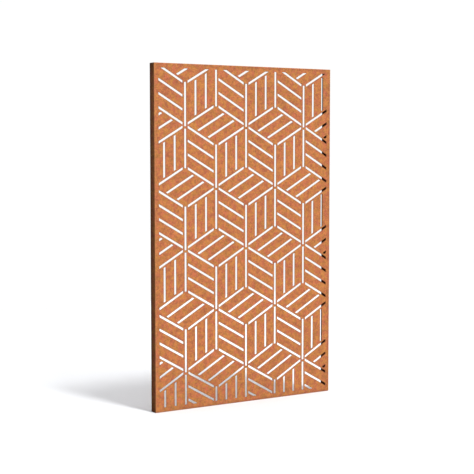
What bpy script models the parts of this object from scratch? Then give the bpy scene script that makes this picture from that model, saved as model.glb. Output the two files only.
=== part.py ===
"""Slotted screen panel folded from one sheet of weathering steel.

The sheet is bent into a shallow upright tray, which is held by its bottom return. Its
front carries a pattern of slots that reads as stacked cubes. Its four edges are turned
back as returns, and the two upright returns end in narrow lips turned inwards. Units are
metres, +Z is up and the front faces -Y. The origin is on the outer face of the bottom
return, at the middle of the width and depth.
"""

import math

import bmesh
import bpy
from mathutils import Vector

# Overall size of the folded tray
WIDTH = 1.100
HEIGHT = 1.800
DEPTH = 0.050

# Sheet and its folds. The lips' reach is measured from the outer face of the side returns.
SHEET = 0.0015
LIP = 0.020
BEND_INSIDE = 0.002
BEND_STEPS = 4

# Slots, the sheet left between a slot's end and the next slot, and the plain border.
# A trimmed slot of less than the smallest area is left out.
SLOT_WIDTH = 0.011
BRIDGE = 0.0095
BORDER = 0.025
SMALLEST_SLOT = 0.000012

# Pattern of rhombs, three to a cube, with six-way and three-way nodes at their corners.
# The first six-way node lies this far right of the panel's middle and above its foot.
CUBE_SIDE = 0.214
NODE_RIGHT = 0.0
NODE_UP = 0.201
INNER_SLOTS = 2

# An upright slot runs past the nodes at its ends. Below a six-way node a bridge follows.
RUN_PAST_SIX_WAY = 0.0055
NODE_BRIDGE = 0.0125
RUN_PAST_THREE_WAY = 0.0075

# How far the cutters reach past the sheet on each side
CUT_CLEARANCE = 0.004

# Rust skin: linear colour, roughness and metallic share
RUST_COLOUR = (0.50, 0.18, 0.07, 1.0)
RUST_ROUGHNESS = 0.85
RUST_METALLIC = 0.0

# Directions of the three families of rhomb edges, in the plane of the front (across, up)
SLOPE = math.radians(30)
LEVEL = Vector((1.0, 0.0))
UPRIGHT = Vector((0.0, 1.0))
RISING = Vector((math.cos(SLOPE), math.sin(SLOPE)))
FALLING = Vector((RISING.x, -RISING.y))

# Spacing of the nodes: a column is half a cube wide, a row one and a half sides high
COLUMN = CUBE_SIDE * RISING.x
ROW = CUBE_SIDE * 1.5

# Distance from the node or edge that a slot faces to the slot's end, along the slot
KEEP = (SLOT_WIDTH / 2 + BRIDGE) / RISING.x

FRONT = -DEPTH / 2
BACK = DEPTH / 2

# Edges of a ring of corners: along the tray's bottom and top, and up its two sides
ENDS = (0, 2)
SIDES = (1, 3)


def clear_scene():
    for old in list(bpy.data.objects):
        bpy.data.objects.remove(old, do_unlink=True)


def rust_material():
    material = bpy.data.materials.new("weathering_steel")
    material.use_nodes = True
    shader = material.node_tree.nodes["Principled BSDF"]
    shader.inputs["Base Color"].default_value = RUST_COLOUR
    shader.inputs["Roughness"].default_value = RUST_ROUGHNESS
    shader.inputs["Metallic"].default_value = RUST_METALLIC
    return material


def new_object(name, bm, material=None):
    mesh = bpy.data.meshes.new(name)
    bm.to_mesh(mesh)
    bm.free()
    thing = bpy.data.objects.new(name, mesh)
    bpy.context.collection.objects.link(thing)
    if material:
        mesh.materials.append(material)
    return thing


def arc(centre, radius, start, end):
    """Points (inset, y) on a fold, from one angle in degrees to another."""
    points = []
    for step in range(BEND_STEPS + 1):
        angle = math.radians(start + (end - start) * step / BEND_STEPS)
        across = centre[0] + radius * math.cos(angle)
        points.append((across, centre[1] + radius * math.sin(angle)))
    return points


def make_ring(bm, side_inset, end_inset, depth):
    """Four corners at one depth, set in from the tray's sides and from its ends.

    They run round from the lower left, so that edges 0 and 2 lie along the bottom and top.
    """
    left = side_inset - WIDTH / 2
    low = end_inset
    high = HEIGHT - end_inset
    corners = [(left, low), (-left, low), (-left, high), (left, high)]
    return [bm.verts.new((across, depth, up)) for across, up in corners]


def strip(bm, ring, following, edges, folded=False):
    """Faces between two rings, along some of their edges. A fold is shaded smooth."""
    for here in edges:
        beyond = (here + 1) % len(ring)
        face = bm.faces.new((ring[here], following[here], following[beyond], ring[beyond]))
        face.smooth = folded


def end_faces(bm, rings):
    """One flat face at the bottom and one at the top, on the corners of a run of rings."""
    for here in ENDS:
        corners = [ring[here] for ring in rings]
        corners += [ring[here + 1] for ring in reversed(rings)]
        bm.faces.new(corners)


def build_tray(material):
    """Folded tray as one solid, with its front edges folded all round and lips at its sides.

    The rings run from the front round the outside to the lips, and back along the inside
    to the rear of the front sheet. A return at an end stops flush with the lips' backs.
    """
    bm = bmesh.new()
    outside = BEND_INSIDE + SHEET
    front_bend = (outside, FRONT + outside)
    back_bend = (outside, BACK - outside)
    front_fold = [make_ring(bm, inset, inset, depth)
                  for inset, depth in arc(front_bend, outside, 270, 180)]
    back_fold = [make_ring(bm, inset, 0.0, depth)
                 for inset, depth in arc(back_bend, outside, 180, 90)]
    lip_edge = [make_ring(bm, LIP, SHEET, depth) for depth in (BACK, BACK - SHEET)]
    back_inside = [make_ring(bm, inset, SHEET, depth)
                   for inset, depth in arc(back_bend, BEND_INSIDE, 90, 180)]
    front_inside = [make_ring(bm, inset, inset, depth)
                    for inset, depth in arc(front_bend, BEND_INSIDE, 180, 270)]

    for fold, edges in ((front_fold, ENDS + SIDES), (back_fold, SIDES),
                        (back_inside, SIDES), (front_inside, ENDS + SIDES)):
        for ring, following in zip(fold, fold[1:]):
            strip(bm, ring, following, edges, folded=True)
    strip(bm, front_fold[-1], back_fold[0], SIDES)
    strip(bm, back_fold[-1], lip_edge[0], ENDS + SIDES)
    strip(bm, lip_edge[0], lip_edge[1], SIDES)
    strip(bm, lip_edge[1], back_inside[0], SIDES)
    strip(bm, back_inside[-1], front_inside[0], SIDES)
    end_faces(bm, front_fold[-1:] + back_fold)
    end_faces(bm, lip_edge + back_inside + front_inside[:1])
    bm.faces.new(front_fold[0])
    bm.faces.new(list(reversed(front_inside[-1])))
    bmesh.ops.recalc_face_normals(bm, faces=bm.faces)
    return new_object("screen_panel", bm, material)


def slot_outline(start, start_cut, end, end_cut):
    """Outline of a straight slot between two points on its centre line.

    Each end is cut along its own direction, so an end lies along the slot it faces.
    """
    along = (end - start).normalized()
    sideways = Vector((-along.y, along.x))
    half = SLOT_WIDTH / 2

    def corner(point, cut, side):
        return point + cut * (side * half / cut.dot(sideways))

    return [corner(start, start_cut, -1), corner(end, end_cut, -1),
            corner(end, end_cut, 1), corner(start, start_cut, 1)]


def edge_slots(node):
    """Slots along the edges that meet at a six-way node."""
    reach = CUBE_SIDE + RUN_PAST_THREE_WAY
    above = node - UPRIGHT * RUN_PAST_SIX_WAY
    below = above - UPRIGHT * NODE_BRIDGE
    slots = [slot_outline(above, LEVEL, node + UPRIGHT * reach, LEVEL),
             slot_outline(node - UPRIGHT * reach, LEVEL, below, LEVEL)]
    for direction in (RISING, FALLING, -RISING, -FALLING):
        start = node + direction * KEEP
        end = node + direction * (CUBE_SIDE - KEEP)
        slots.append(slot_outline(start, UPRIGHT, end, UPRIGHT))
    return slots


def rhomb_slots(corner, first, run):
    """Slots inside one rhomb, spread evenly along its first edge and lying along run."""
    slots = []
    for count in range(1, INNER_SLOTS + 1):
        foot = corner + first * (CUBE_SIDE * count / (INNER_SLOTS + 1))
        start = foot + run * KEEP
        end = foot + run * (CUBE_SIDE - KEEP)
        slots.append(slot_outline(start, first, end, first))
    return slots


def cube_slots(node):
    """All the slots of the cube that stands on a six-way node."""
    centre = node + UPRIGHT * CUBE_SIDE
    slots = edge_slots(node)
    slots += rhomb_slots(node, RISING, UPRIGHT)
    slots += rhomb_slots(node, UPRIGHT, -FALLING)
    slots += rhomb_slots(centre, -FALLING, RISING)
    return slots


def trim(outline, axis, limit, sign):
    """Part of a convex outline on one side of a line parallel to an edge of the panel.

    Sign 1 keeps what lies below the limit along the axis, and -1 what lies above it.
    """
    kept = []
    for here, beyond in zip(outline, outline[1:] + outline[:1]):
        inside = sign * (limit - here[axis])
        following = sign * (limit - beyond[axis])
        if inside >= 0:
            kept.append(here)
        if inside * following < 0:
            kept.append(here.lerp(beyond, inside / (inside - following)))
    return kept


def area(outline):
    total = 0.0
    for here, beyond in zip(outline, outline[1:] + outline[:1]):
        total += here.x * beyond.y - beyond.x * here.y
    return abs(total) / 2


def pattern():
    """Slot outlines of every cube that reaches the panel, trimmed square at the border.

    A cube reaches less than two sides past its node to the left, right or down, and two up.
    """
    side = WIDTH / 2 - BORDER
    reach = 2 * CUBE_SIDE
    columns = math.ceil((WIDTH / 2 + abs(NODE_RIGHT) + reach) / COLUMN)
    rows = math.ceil((HEIGHT + abs(NODE_UP) + reach) / ROW)
    outlines = []
    for across in range(-columns, columns + 1):
        for up in range(-rows, rows + 1):
            if (across + up) % 2:
                continue
            node = Vector((NODE_RIGHT + across * COLUMN, NODE_UP + up * ROW))
            for outline in cube_slots(node):
                outline = trim(outline, 0, side, 1)
                outline = trim(outline, 0, -side, -1)
                outline = trim(outline, 1, HEIGHT - BORDER, 1)
                outline = trim(outline, 1, BORDER, -1)
                if area(outline) > SMALLEST_SLOT:
                    outlines.append(outline)
    return outlines


def build_cutter():
    """One hidden mesh with a prism for each slot, right through the front sheet."""
    bm = bmesh.new()
    near = FRONT - CUT_CLEARANCE
    far = FRONT + SHEET + CUT_CLEARANCE
    for outline in pattern():
        front = [bm.verts.new((point.x, near, point.y)) for point in outline]
        rear = [bm.verts.new((point.x, far, point.y)) for point in outline]
        bm.faces.new(front)
        bm.faces.new(list(reversed(rear)))
        for here in range(len(outline)):
            beyond = (here + 1) % len(outline)
            bm.faces.new((front[here], rear[here], rear[beyond], front[beyond]))
    bmesh.ops.recalc_face_normals(bm, faces=bm.faces)
    cutter = new_object("slot_cutter", bm)
    cutter.hide_render = True
    cutter.display_type = "WIRE"
    return cutter


def cut_slots(panel, cutter):
    cut = panel.modifiers.new("slots", "BOOLEAN")
    cut.operation = "DIFFERENCE"
    cut.solver = "EXACT"
    cut.object = cutter


def main():
    clear_scene()
    panel = build_tray(rust_material())
    cut_slots(panel, build_cutter())


main()
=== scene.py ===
"""Looks of the slotted screen panel: rusted weathering steel in a white studio.

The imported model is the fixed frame. Its one node is replaced by a finer panel of the same
shape, with rounded cut edges, smooth folds and softened corners, and the corners' welds are
added inside the tray. Units are metres, +Z is up and the front faces -Y.
"""

import math

import bmesh
import bpy
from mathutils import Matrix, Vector
from mathutils.geometry import delaunay_2d_cdt


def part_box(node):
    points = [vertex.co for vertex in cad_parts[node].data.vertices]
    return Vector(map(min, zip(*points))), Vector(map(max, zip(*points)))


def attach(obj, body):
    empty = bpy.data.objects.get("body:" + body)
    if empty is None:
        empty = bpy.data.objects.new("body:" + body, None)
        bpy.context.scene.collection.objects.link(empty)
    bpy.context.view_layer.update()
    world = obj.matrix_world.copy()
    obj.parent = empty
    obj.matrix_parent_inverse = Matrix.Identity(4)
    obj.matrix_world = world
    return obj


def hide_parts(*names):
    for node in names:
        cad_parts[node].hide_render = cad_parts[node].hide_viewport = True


NODE = "screen_panel"
SLOT = "weathering_steel"
BODY = "root"

# Folded sheet, as in the solid
SHEET = 0.0015
LIP = 0.020
BEND_INSIDE = 0.002
BEND_STEPS = 10

# Softening that the solid leaves out, and the flat rims along it that keep shading even
CORNER_RADIUS = 0.0014
INNER_CORNER_RADIUS = 0.0004
CORNER_STEPS = 4
LIP_EDGE_RADIUS = 0.0004
LIP_EDGE_STEPS = 3
LIP_RIM = 0.0026
SLOT_CORNER_RADIUS = 0.0008
SLOT_CORNER_STEPS = 3
CUT_EDGE_RADIUS = 0.00025
CUT_EDGE_STEPS = 2
RIM = 0.0026

# How much painted shade the rear of the front sheet takes, where the inside of a return takes
# 1
REAR_INSIDE_SHADE = 0.25

# Most of a side that the round corner at its end may take up
CORNER_SHARE = 0.35

# Tolerances: points taken as one, sides as straight and faces as flat
SAME_PLACE = 1e-5
STRAIGHT_SINE = 0.01
FLAT_NORMAL = 0.9999
TRIANGLE_GAP = 1e-7

# Smooth shading: faces narrower than the first, or between rings closer than the second
SHORT_SIDE = 0.002
FOLD_STEP = 0.0009

# Welds inside the tray's corners: legs, ripples, tapered ends and a slow unevenness
BEAD_LEG = 0.0032
BEAD_HOLLOW = 0.30
BEAD_RIPPLE = 0.00016
BEAD_PITCH = 0.0019
BEAD_END = 0.0045
BEAD_END_SHARE = 0.25
BEAD_UNEVEN = 0.06
BEAD_WAVE = 37
BEAD_PHASE_X = 5
BEAD_PHASE_Z = 3
BEAD_STEP = 0.0005
BEAD_ARC_STEPS = 7
BEAD_SUNK = 0.0002
BEAD_SHORT = 0.0015

# Rust, and a painted highlight on the left fold: linear colours
OCHRE = (0.592, 0.236, 0.060, 1)
ORANGE = (0.582, 0.197, 0.067, 1)
BRICK = (0.568, 0.153, 0.077, 1)
UMBER = (0.205, 0.067, 0.038, 1)
DARK_RIM = (0.220, 0.085, 0.042, 1)
FOLD_HIGHLIGHT = (0.660, 0.285, 0.120, 1)
WELD_TINT = (0.230, 0.095, 0.055, 1)

# Painted shade: how far up the foot is darkened, and how far in from the ends the returns are
# darkened
FOOT_SHADE_TOP = 0.35
END_SHADE_REACH = 0.09

# Rust and painted shade: where a zone starts and ends, measured back from the front face
FRONT_END = (0.003, 0.006)
RETURN_START = (0.003, 0.007)
WELD_DEPTH = (0.004, 0.007)
INSIDE_SHADE_START = 0.006

# Rust: where the weld tint spreads along the lips, measured forward from their backs
LIP_START = 0.004
LIP_END = 0.002

# Rust, a painted highlight and painted shade: where a zone starts and ends, measured in from
# the panel's edges
HIGHLIGHT_EDGE = (0.0015, 0.010)
DARK_EDGE = (0.006, 0.020)
WELD_REACH = (0.0015, 0.0070)
INSIDE_SHADE_EDGE = (0.003, 0.010)

# Rust: relief and shine
BUMP_STRENGTH = 0.6
BUMP_DISTANCE = 0.0005
SPECULAR = 0.25

# Floor: half its side, and its colour to the camera and to light that bounces
FLOOR_REACH = 4.0
FLOOR_SEEN = (0.871, 0.880, 0.896, 1)
FLOOR_BOUNCE = (0.10, 0.10, 0.10, 1)

# Lights: name, direction that the light comes from, strength and spread in degrees
LIGHTS = [
    ("key_high", (0.155, -0.650, 1.8), 0.51, 6),
    ("key_middle", (0.195, -0.830, 1.8), 0.65, 6),
    ("key_low", (0.232, -1.000, 1.8), 0.39, 6),
    ("overhead", (0.15, 0.10, 1.0), 1.30, 110),
    ("front", (0.45, -1.30, 0.50), 2.15, 40),
    ("rear", (0.80, 1.00, 0.35), 0.90, 60),
]
LAMP_DISTANCE = 6

# Surroundings: what lights the panel from all round, and what the camera sees
AMBIENT = 0.18
AMBIENT_TINT = (0.95, 0.985, 1.04, 1)
BACKDROP = 1.01
WHITE = (1, 1, 1, 1)

# The photograph's camera
PICTURE = 474
CAMERA_PLACE = (-3.3792, -5.4385, 1.3703)
CAMERA_TILT = math.pi / 2 - 0.07480
CAMERA_TURN = -0.55039
FOCAL_PIXELS = 1195.096
SENSOR = 36.0

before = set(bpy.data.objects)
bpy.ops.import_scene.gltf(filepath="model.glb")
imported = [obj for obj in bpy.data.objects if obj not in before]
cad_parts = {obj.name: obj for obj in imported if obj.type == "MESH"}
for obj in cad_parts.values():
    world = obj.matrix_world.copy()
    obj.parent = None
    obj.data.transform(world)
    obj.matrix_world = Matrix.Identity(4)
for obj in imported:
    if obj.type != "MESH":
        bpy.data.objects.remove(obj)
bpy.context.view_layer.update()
low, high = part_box(NODE)
WIDTH = high.x - low.x
HEIGHT = high.z
FRONT = low.y
BACK = high.y
OUTSIDE = BEND_INSIDE + SHEET


# Panel

def slot_loops(mesh):
    """Outlines of the slots in the front plane of the solid, each a list of (x, z)."""
    bm = bmesh.new()
    bm.from_mesh(mesh)
    bmesh.ops.remove_doubles(bm, verts=bm.verts, dist=SAME_PLACE)
    flat = {face for face in bm.faces
            if all(abs(vert.co.y - FRONT) < SAME_PLACE for vert in face.verts)}
    beyond = {}
    for edge in bm.edges:
        if sum(face in flat for face in edge.link_faces) == 1:
            first, second = edge.verts
            beyond.setdefault(first, []).append(second)
            beyond.setdefault(second, []).append(first)
    loops = []
    while beyond:
        start = next(iter(beyond))
        loop = [start]
        while beyond.get(loop[-1]):
            here = loop[-1]
            following = beyond[here].pop()
            beyond[following].remove(here)
            if following is start:
                break
            loop.append(following)
        for vert in loop:
            if not beyond.get(vert):
                beyond.pop(vert, None)
        loops.append([Vector((vert.co.x, vert.co.z)) for vert in loop])
    bm.free()
    loops.sort(key=lambda loop: abs(signed_area(loop)))
    loops = [straightened(loop) for loop in loops[:-1]]
    return [loop if signed_area(loop) > 0 else loop[::-1] for loop in loops]


def signed_area(loop):
    total = 0.0
    for here, beyond in zip(loop, loop[1:] + loop[:1]):
        total += here.x * beyond.y - beyond.x * here.y
    return total / 2


def straightened(loop):
    """The loop without the points that lie on a straight side."""
    kept = []
    for before, here, beyond in zip(loop[-1:] + loop[:-1], loop, loop[1:] + loop[:1]):
        one = (here - before).normalized()
        two = (beyond - here).normalized()
        if abs(one.x * two.y - one.y * two.x) > STRAIGHT_SINE:
            kept.append(here)
    return kept


def rounded(loop, radius, steps):
    """A convex loop with round corners, as pairs of a point and its outward normal."""
    points = []
    for before, here, beyond in zip(loop[-1:] + loop[:-1], loop, loop[1:] + loop[:1]):
        one = before - here
        two = beyond - here
        half = one.angle(two) / 2
        room = CORNER_SHARE * min(one.length, two.length)
        round_radius = min(radius, room * math.tan(half))
        middle = (one.normalized() + two.normalized()).normalized()
        centre = here + middle * (round_radius / math.sin(half))
        away = (here - centre).normalized()
        swing = math.pi / 2 - half
        for step in range(steps + 1):
            turn = swing * (2 * step / steps - 1)
            normal = Vector((away.x * math.cos(turn) - away.y * math.sin(turn),
                             away.x * math.sin(turn) + away.y * math.cos(turn)))
            points.append((centre + normal * round_radius, normal))
    return points


def slot_profile():
    """Rings round a slot, from the front of the sheet to its rear: (outward, y, wear)."""
    rings = [(RIM, FRONT, 0.0)]
    for step in range(CUT_EDGE_STEPS + 1):
        turn = math.pi / 2 * step / CUT_EDGE_STEPS
        rings.append((CUT_EDGE_RADIUS * (1 - math.sin(turn)),
                      FRONT + CUT_EDGE_RADIUS * (1 - math.cos(turn)), 1.0))
    middle = FRONT + SHEET / 2
    return rings + [(out, 2 * middle - y, wear) for out, y, wear in reversed(rings)]


def fold(centre, radius, start, end, steps):
    """Points (inset, y) round an arc, from one angle in degrees to another."""
    points = []
    for step in range(steps + 1):
        turn = math.radians(start + (end - start) * step / steps)
        points.append((centre[0] + radius * math.cos(turn),
                       centre[1] + radius * math.sin(turn)))
    return points


def end_rounding(y):
    """How far the edge rounding of a return without a lip sets its outer face in."""
    past = max(0.0, y - (BACK - LIP_EDGE_RADIUS))
    return LIP_EDGE_RADIUS - math.sqrt(max(0.0, LIP_EDGE_RADIUS ** 2 - past ** 2))


def tray_rings():
    """Rings from the front round the outside to the lips and back along the inside.

    Each is (inset from the sides, inset from the ends, y, corner radius, wear, painted inside
    shade).
    The range beside them says which bound the flat inner faces of the end returns.
    """
    front_bend = (OUTSIDE, FRONT + OUTSIDE)
    back_bend = (OUTSIDE, BACK - OUTSIDE)
    edge = LIP_EDGE_RADIUS
    outer = CORNER_RADIUS
    inner = INNER_CORNER_RADIUS
    rings = [(inset, inset, y, outer, 0, 0)
             for inset, y in fold(front_bend, OUTSIDE, 270, 180, BEND_STEPS)]
    rings += [(inset, end_rounding(y), y, outer, 0, 0)
              for inset, y in fold(back_bend, OUTSIDE, 180, 90, BEND_STEPS)]
    rings += [(inset, inset - LIP + SHEET, y, inner, 1, 0)
              for inset, y in fold((LIP - edge, BACK - edge), edge, 90, 0, LIP_EDGE_STEPS)]
    first = len(rings) - 1
    rings += [(inset, SHEET, y, inner, 1, 1)
              for inset, y in fold((LIP - edge, BACK - SHEET + edge), edge, 0, -90,
                                   LIP_EDGE_STEPS)]
    rings.append((LIP - LIP_RIM, SHEET, BACK - SHEET, inner, 0, 1))
    rings += [(inset, SHEET, y, inner, 0, 1)
              for inset, y in fold(back_bend, BEND_INSIDE, 90, 180, BEND_STEPS)]
    last = len(rings)
    rings += [(inset, inset, y, inner, 0, 1 - (1 - REAR_INSIDE_SHADE) * step / BEND_STEPS)
              for step, (inset, y)
              in enumerate(fold(front_bend, BEND_INSIDE, 180, 270, BEND_STEPS))]
    return rings, range(first, last + 1)


def rectangle(side_inset, end_inset):
    side = WIDTH / 2 - side_inset
    top = HEIGHT - end_inset
    return [Vector((-side, end_inset)), Vector((side, end_inset)),
            Vector((side, top)), Vector((-side, top))]


def inside(point, loop):
    """Whether a point lies in a convex loop that runs anticlockwise."""
    for here, beyond in zip(loop, loop[1:] + loop[:1]):
        side = beyond - here
        if side.x * (point.y - here.y) - side.y * (point.x - here.x) < 0:
            return False
    return True


def sheet_triangles(outer, holes):
    """Triangles, as indexes, that fill the outer loop and leave the holes open."""
    points = []
    sides = []
    for loop in [outer] + holes:
        first = len(points)
        points += loop
        sides += [(first + here, first + (here + 1) % len(loop)) for here in range(len(loop))]
    made = delaunay_2d_cdt(points, sides, [], 0, TRIANGLE_GAP)
    assert len(made[0]) == len(points), "two rims round slots cross"
    origin = [sources[0] for sources in made[3]]
    boxes = [(min(p.x for p in loop), max(p.x for p in loop),
              min(p.y for p in loop), max(p.y for p in loop), loop) for loop in holes]
    kept = []
    for face in made[2]:
        middle = sum((made[0][index] for index in face), Vector((0, 0))) / 3
        if not inside(middle, outer):
            continue
        if any(a < middle.x < b and c < middle.y < d and inside(middle, loop)
               for a, b, c, d, loop in boxes):
            continue
        kept.append([origin[index] for index in face])
    return kept


def add_ring(bm, points, y, wear, painted_inside_shade):
    """A ring of vertices at one depth, marked with how worn it is and how much painted shade
    it takes.
    """
    wear_layer = bm.verts.layers.float["wear"]
    painted_inside_shade_layer = bm.verts.layers.float["painted_inside_shade"]
    ring = []
    for point in points:
        vert = bm.verts.new((point.x, y, point.y))
        vert[wear_layer] = wear
        vert[painted_inside_shade_layer] = painted_inside_shade
        ring.append(vert)
    return ring


def bridge(bm, ring, following, smooth, left_out=()):
    """Quads between two rings. Unless smooth is set, a long wall stays flat shaded."""
    for here in range(len(ring)):
        if here in left_out:
            continue
        beyond = (here + 1) % len(ring)
        face = bm.faces.new((ring[here], ring[beyond], following[beyond], following[here]))
        face.smooth = smooth or (ring[here].co - ring[beyond].co).length < SHORT_SIDE


def new_object(name, bm):
    mesh = bpy.data.meshes.new(name)
    bm.to_mesh(mesh)
    bm.free()
    thing = bpy.data.objects.new(name, mesh)
    bpy.context.collection.objects.link(thing)
    return thing


def build_panel(slots):
    bm = bmesh.new()
    bm.verts.layers.float.new("wear")
    bm.verts.layers.float.new("painted_inside_shade")

    # The folded tray
    tray = []
    steps, end_faces = tray_rings()
    for side_inset, end_inset, y, corner, wear, painted_inside_shade in steps:
        outline = rounded(rectangle(side_inset, end_inset), corner, CORNER_STEPS)
        tray.append(add_ring(bm, [point for point, normal in outline], y, wear, painted_inside_shade))

    # Where the long bottom and top sides start in a ring, each being one inner end face
    ends = (CORNER_STEPS, 3 * CORNER_STEPS + 2)
    for place, (ring, following) in enumerate(zip(tray, tray[1:])):
        gap = following[0].co - ring[0].co
        within = place in end_faces and place + 1 in end_faces
        bridge(bm, ring, following, gap.length < FOLD_STEP, ends if within else ())
    for here in ends:
        corners = [tray[place][here] for place in end_faces]
        corners += [tray[place][here + 1] for place in reversed(end_faces)]
        bm.faces.new(corners)

    # The walls of the slots, with a flat rim round each on the front and on the rear
    front_rims = []
    rear_rims = []
    for slot in slots:
        outline = rounded(slot, SLOT_CORNER_RADIUS, SLOT_CORNER_STEPS)
        rings = []
        for out, y, wear in slot_profile():
            points = [point + normal * out for point, normal in outline]
            painted_inside_shade = REAR_INSIDE_SHADE * (y - FRONT) / SHEET
            rings.append(add_ring(bm, points, y, wear, painted_inside_shade))
        # All but the two flat rims and the wall between the roundings is shaded smooth
        for place, (ring, following) in enumerate(zip(rings, rings[1:])):
            rounding = place not in (0, CUT_EDGE_STEPS + 1, len(rings) - 2)
            bridge(bm, following, ring, rounding)
        front_rims.append(rings[0])
        rear_rims.append(rings[-1])

    # The sheet between the rims, front and rear
    outer = [Vector((vert.co.x, vert.co.z)) for vert in tray[0]]
    holes = [[Vector((vert.co.x, vert.co.z)) for vert in ring] for ring in front_rims]
    triangles = sheet_triangles(outer, holes)
    front_verts = tray[0] + [vert for ring in front_rims for vert in ring]
    rear_verts = tray[-1] + [vert for ring in rear_rims for vert in ring]
    for triangle in triangles:
        bm.faces.new([front_verts[index] for index in triangle])
        bm.faces.new([rear_verts[index] for index in reversed(triangle)])
    bmesh.ops.recalc_face_normals(bm, faces=bm.faces)
    for face in bm.faces:
        if max(abs(share) for share in face.normal) > FLAT_NORMAL:
            face.smooth = False
    return new_object("rusted_panel", bm)


def add_bead(bm, start, end, one, two):
    """A rippled weld along a corner line. One and two lead away from it along its walls."""
    length = (end - start).length
    stations = math.ceil(length / BEAD_STEP)
    rings = []
    for station in range(stations + 1):
        along = length * station / stations
        ripple = BEAD_RIPPLE * abs(math.sin(math.pi * along / BEAD_PITCH))
        near_end = min(along, length - along) / BEAD_END
        fade = math.sin(math.pi / 2 * min(1.0, BEAD_END_SHARE + near_end))
        leg = (BEAD_LEG + ripple) * fade
        wave = BEAD_WAVE * along + BEAD_PHASE_X * start.x + BEAD_PHASE_Z * start.z
        leg *= 1 + BEAD_UNEVEN * math.sin(wave)
        corner = start.lerp(end, station / stations) - (one + two) * BEAD_SUNK
        ring = []
        for step in range(BEAD_ARC_STEPS + 1):
            turn = math.pi / 2 * step / BEAD_ARC_STEPS
            bulge = leg * (1 - BEAD_HOLLOW * math.sin(2 * turn))
            ring.append(bm.verts.new(corner + one * (bulge * math.cos(turn))
                                     + two * (bulge * math.sin(turn))))
        ring.append(bm.verts.new(corner))
        rings.append(ring)
    for ring, following in zip(rings, rings[1:]):
        for here in range(len(ring)):
            beyond = (here + 1) % len(ring)
            face = bm.faces.new((ring[here], ring[beyond], following[beyond], following[here]))
            face.smooth = here < BEAD_ARC_STEPS
    bm.faces.new(rings[0])
    bm.faces.new(list(reversed(rings[-1])))


def build_welds(name, side, up):
    """Welds in one inner corner of the tray: between two returns, and along a lip's end."""
    bm = bmesh.new()
    inward = Vector((-side, 0, 0))
    away = Vector((0, 0, up))
    x = side * (WIDTH / 2 - SHEET)
    z = SHEET if up > 0 else HEIGHT - SHEET
    add_bead(bm, Vector((x, FRONT + OUTSIDE, z)), Vector((x, BACK - OUTSIDE, z)),
             inward, away)
    near = side * (WIDTH / 2 - OUTSIDE)
    far = side * (WIDTH / 2 - LIP + BEAD_SHORT)
    y = BACK - SHEET
    add_bead(bm, Vector((near, y, z)), Vector((far, y, z)), Vector((0, -1, 0)), away)
    bmesh.ops.recalc_face_normals(bm, faces=bm.faces)
    return new_object(name, bm)


# Rust

class Tree:
    """Short calls for a material's nodes."""

    def __init__(self, name):
        self.material = bpy.data.materials.new(name)
        self.material.use_nodes = True
        self.nodes = self.material.node_tree.nodes
        self.links = self.material.node_tree.links
        self.nodes.clear()

    def feed(self, socket, value):
        if isinstance(value, bpy.types.NodeSocket):
            self.links.new(value, socket)
        else:
            socket.default_value = value

    def math(self, operation, one, two=0.0):
        node = self.nodes.new("ShaderNodeMath")
        node.operation = operation
        self.feed(node.inputs[0], one)
        self.feed(node.inputs[1], two)
        return node.outputs[0]

    def times(self, product, *values):
        for value in values:
            product = self.math("MULTIPLY", product, value)
        return product

    def weighted(self, *terms):
        """Sum of fields, each given with its weight."""
        parts = [self.math("MULTIPLY", field, weight) for field, weight in terms]
        total = parts[0]
        for part in parts[1:]:
            total = self.math("ADD", total, part)
        return total

    def layer(self, name):
        """A layer of numbers that the mesh carries on its vertices."""
        node = self.nodes.new("ShaderNodeAttribute")
        node.attribute_name = name
        return node.outputs["Fac"]

    def range(self, value, start, end, low=0.0, high=1.0, smooth=False):
        """Value between start and end, spread from low to high and held there beyond."""
        node = self.nodes.new("ShaderNodeMapRange")
        node.interpolation_type = "SMOOTHSTEP" if smooth else "LINEAR"
        for name, number in (("From Min", start), ("From Max", end),
                             ("To Min", low), ("To Max", high)):
            node.inputs[name].default_value = number
        self.feed(node.inputs["Value"], value)
        return node.outputs["Result"]

    def noise(self, place, scale, detail, rough, warp=0.0):
        node = self.nodes.new("ShaderNodeTexNoise")
        node.inputs["Scale"].default_value = scale
        node.inputs["Detail"].default_value = detail
        node.inputs["Roughness"].default_value = rough
        node.inputs["Distortion"].default_value = warp
        self.feed(node.inputs["Vector"], place)
        return node.outputs["Fac"]

    def shift(self, place, move, stretch=(1, 1, 1)):
        node = self.nodes.new("ShaderNodeMapping")
        node.inputs["Location"].default_value = move
        node.inputs["Scale"].default_value = stretch
        self.feed(node.inputs["Vector"], place)
        return node.outputs["Vector"]

    def mix(self, share, one, two, blend="MIX"):
        node = self.nodes.new("ShaderNodeMix")
        node.data_type = "RGBA"
        node.blend_type = blend
        self.feed(node.inputs["Factor"], share)
        self.feed(node.inputs[6], one)
        self.feed(node.inputs[7], two)
        return node.outputs[2]

    def finish(self, shader):
        output = self.nodes.new("ShaderNodeOutputMaterial")
        self.links.new(shader.outputs["BSDF"], output.inputs["Surface"])


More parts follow.
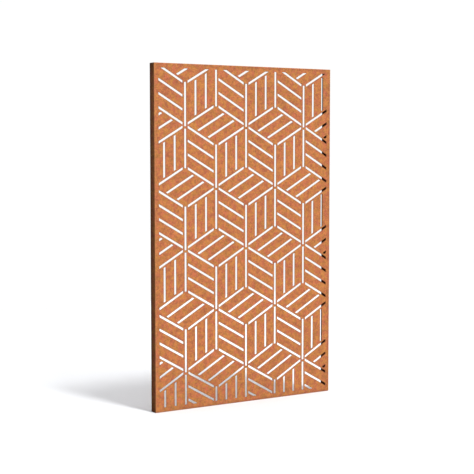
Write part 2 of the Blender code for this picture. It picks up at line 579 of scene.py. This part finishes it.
def rust():
    """Weathering steel: patches of ochre, orange and brick rust over fine dark pitting."""
    tree = Tree(SLOT)
    place = tree.nodes.new("ShaderNodeTexCoord").outputs["Object"]
    split = tree.nodes.new("ShaderNodeSeparateXYZ")
    tree.feed(split.inputs[0], place)
    x, y, z = split.outputs

    # Noise fields from broad to fine, moved apart so that they don't line up
    broad = tree.noise(place, 4.5, 3.0, 0.6, 0.4)
    patches = tree.noise(tree.shift(place, (3, 1, 7)), 34, 4.0, 0.62, 0.5)
    clouds = tree.noise(tree.shift(place, (7, 3, 5)), 55, 3.0, 0.6, 0.4)
    blots = tree.noise(tree.shift(place, (8, 5, 2)), 110, 3.0, 0.6, 0.2)
    mottle = tree.noise(tree.shift(place, (4, 7, 6)), 210, 3.0, 0.65, 0.3)
    grain = tree.noise(tree.shift(place, (1, 9, 4)), 560, 2.0, 0.6)
    dust = tree.noise(tree.shift(place, (6, 2, 5)), 1700, 2.0, 0.6)
    runs = tree.noise(tree.shift(place, (2, 4, 9), (70, 70, 5)), 1, 3.0, 0.6)

    # Rust colours, with upright runs, stains and pits over them
    colour = tree.mix(tree.range(patches, 0.40, 0.60), OCHRE, ORANGE)
    red = tree.weighted((patches, 0.5), (mottle, 0.5))
    colour = tree.mix(tree.range(red, 0.49, 0.57, 0.0, 0.9), colour, BRICK)
    colour = tree.mix(tree.range(runs, 0.52, 0.72, 0.0, 0.25), colour, OCHRE)
    stain = tree.weighted((clouds, 0.5), (blots, 0.5))
    colour = tree.mix(tree.range(stain, 0.45, 0.62, 0.0, 0.34), colour, UMBER)
    pits = tree.weighted((grain, 0.7), (blots, 0.3))
    colour = tree.mix(tree.range(pits, 0.56, 0.66, 0.0, 0.75), colour, UMBER)

    # Distances from the panel's sides, its ends, the nearer of both, and its front face
    from_side = tree.math("SUBTRACT", WIDTH / 2, tree.math("ABSOLUTE", x))
    from_end = tree.math("MINIMUM", z, tree.math("SUBTRACT", HEIGHT, z))
    from_edge = tree.math("MINIMUM", from_side, from_end)
    depth = tree.math("SUBTRACT", y, FRONT)

    # Light and dark: broad changes and fine speckle in the rust, with painted shade at the
    # foot, at the ends, towards the back and inside the tray
    tone_and_painted_shade = tree.range(broad, 0.30, 0.70, 0.95, 1.05)
    for field, swing in ((clouds, 0.10), (mottle, 0.10), (dust, 0.20)):
        tone_and_painted_shade = tree.times(tone_and_painted_shade, tree.range(field, 0.28, 0.72, 1 + swing, 1 - swing))
    # Painted shade, darker towards the foot
    tone_and_painted_shade = tree.times(tone_and_painted_shade, tree.range(z, 0.0, FOOT_SHADE_TOP, 0.96, 1.0, smooth=True))
    # Painted shade behind the front face near the panel's ends: the end returns, and the side
    # returns and lips near them
    painted_end_shade = tree.times(tree.range(depth, *RETURN_START, 0.0, 1.0),
                      tree.range(from_end, 0.0, END_SHADE_REACH, 0.35, 0.0, smooth=True))
    tone_and_painted_shade = tree.times(tone_and_painted_shade, tree.math("SUBTRACT", 1.0, painted_end_shade))
    # Painted shade: darker towards the back of the tray, most along the returns and lips
    rear = tree.times(tree.range(depth, INSIDE_SHADE_START, BACK - FRONT, 0.0, 0.53),
                      tree.range(from_edge, *INSIDE_SHADE_EDGE, 1.0, 0.25))
    tone_and_painted_shade = tree.times(tone_and_painted_shade, tree.math("SUBTRACT", 1.05, rear))
    # Painted shade: the inside of the tray darker, as the inside-shade layer marks it
    tone_and_painted_shade = tree.times(tone_and_painted_shade, tree.range(tree.layer("painted_inside_shade"), 0, 1, 1.0, 0.34))

    # On the front, a painted highlight along the left fold and darker rust along the other
    # edges
    in_front = tree.range(depth, *FRONT_END, 1.0, 0.0)
    from_left = tree.math("ADD", x, WIDTH / 2)
    painted_highlight = tree.times(tree.range(from_left, *HIGHLIGHT_EDGE, 1.0, 0.0, smooth=True), in_front,
                        tree.range(blots, 0.35, 0.60, 0.35, 1.0), 0.50)
    colour = tree.mix(painted_highlight, colour, FOLD_HIGHLIGHT)
    from_others = tree.math("MINIMUM", from_end, tree.math("SUBTRACT", WIDTH / 2, x))
    dark = tree.times(tree.range(from_others, *DARK_EDGE, 1.0, 0.0, smooth=True), in_front,
                      tree.range(blots, 0.35, 0.60, 0.12, 0.26))
    colour = tree.mix(dark, colour, UMBER)

    # Dark cut edges, as the wear layer marks them
    rim = tree.times(tree.range(tree.layer("wear"), 0.0, 0.75, smooth=True),
                     tree.range(mottle, 0.3, 0.6, 0.60, 0.95))
    colour = tree.mix(rim, colour, DARK_RIM)

    # Heat tint round the welds in the corners and at the lips' ends
    beside = tree.times(from_side, tree.range(y, BACK - LIP_START, BACK - LIP_END, 1.0, 0.2))
    corner = tree.math("MAXIMUM", from_end, beside)
    corner = tree.math("ADD", corner, tree.range(blots, 0.3, 0.7, -0.0015, 0.0015))
    weld = tree.times(tree.range(corner, *WELD_REACH, 1.0, 0.0, smooth=True),
                      tree.range(depth, *WELD_DEPTH, 0.0, 0.55))
    colour = tree.mix(weld, colour, WELD_TINT)

    colour = tree.mix(1.0, colour, tone_and_painted_shade, "MULTIPLY")

    bump = tree.nodes.new("ShaderNodeBump")
    bump.inputs["Strength"].default_value = BUMP_STRENGTH
    bump.inputs["Distance"].default_value = BUMP_DISTANCE
    tree.feed(bump.inputs["Height"],
              tree.weighted((tree.range(grain, 0.3, 0.7), -0.5), (dust, 0.35), (mottle, 0.5),
                            (patches, 0.6)))

    shader = tree.nodes.new("ShaderNodeBsdfPrincipled")
    tree.feed(shader.inputs["Base Color"], colour)
    tree.feed(shader.inputs["Roughness"], tree.range(blots, 0.3, 0.7, 0.92, 0.74))
    tree.feed(shader.inputs["Normal"], bump.outputs["Normal"])
    shader.inputs["Metallic"].default_value = 0.0
    shader.inputs["Specular IOR Level"].default_value = SPECULAR
    tree.finish(shader)
    return tree.material


# Studio

def build_floor():
    """A white floor that reflects little onto the object."""
    bm = bmesh.new()
    corners = [(-1, -1), (1, -1), (1, 1), (-1, 1)]
    bm.faces.new([bm.verts.new((across * FLOOR_REACH, away * FLOOR_REACH, 0.0))
                  for across, away in corners])
    floor = new_object("floor", bm)
    tree = Tree("studio_floor")
    seen = tree.nodes.new("ShaderNodeLightPath").outputs["Is Camera Ray"]
    shader = tree.nodes.new("ShaderNodeBsdfDiffuse")
    tree.feed(shader.inputs["Color"], tree.mix(seen, FLOOR_BOUNCE, FLOOR_SEEN))
    tree.finish(shader)
    floor.data.materials.append(tree.material)


def studio_light(name, towards, strength, spread):
    """A soft light of even strength all over the floor, shining from one direction."""
    light = bpy.data.lights.new(name, "SUN")
    light.energy = strength
    light.angle = math.radians(spread)
    lamp = bpy.data.objects.new(name, light)
    bpy.context.collection.objects.link(lamp)
    lamp.location = Vector(towards).normalized() * LAMP_DISTANCE
    lamp.rotation_euler = Vector(towards).to_track_quat("Z", "Y").to_euler()


def build_lights():
    for settings in LIGHTS:
        studio_light(*settings)
    world = bpy.data.worlds.new("studio")
    bpy.context.scene.world = world
    world.use_nodes = True
    nodes = world.node_tree.nodes
    links = world.node_tree.links
    nodes.clear()
    seen = nodes.new("ShaderNodeLightPath")
    mix = nodes.new("ShaderNodeMixShader")
    output = nodes.new("ShaderNodeOutputWorld")
    links.new(seen.outputs["Is Camera Ray"], mix.inputs[0])
    for place, colour, strength in ((1, AMBIENT_TINT, AMBIENT), (2, WHITE, BACKDROP)):
        background = nodes.new("ShaderNodeBackground")
        background.inputs["Color"].default_value = colour
        background.inputs["Strength"].default_value = strength
        links.new(background.outputs[0], mix.inputs[place])
    links.new(mix.outputs[0], output.inputs[0])


def build_camera():
    data = bpy.data.cameras.new("camera")
    data.sensor_fit = "HORIZONTAL"
    data.sensor_width = SENSOR
    data.lens = SENSOR * FOCAL_PIXELS / PICTURE
    camera = bpy.data.objects.new("camera", data)
    bpy.context.collection.objects.link(camera)
    camera.location = CAMERA_PLACE
    camera.rotation_euler = (CAMERA_TILT, 0.0, CAMERA_TURN)
    bpy.context.scene.camera = camera
    bpy.context.scene.view_settings.view_transform = "Standard"


steel = rust()
panel = build_panel(slot_loops(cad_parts[NODE].data))
panel.data.materials.append(steel)
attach(panel, BODY)
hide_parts(NODE)
for number, (side, up) in enumerate([(-1, 1), (1, 1), (1, -1), (-1, -1)], start=1):
    welds = build_welds(f"corner_welds_{number}", side, up)
    welds.data.materials.append(steel)
    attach(welds, BODY)
build_floor()
build_lights()
build_camera()
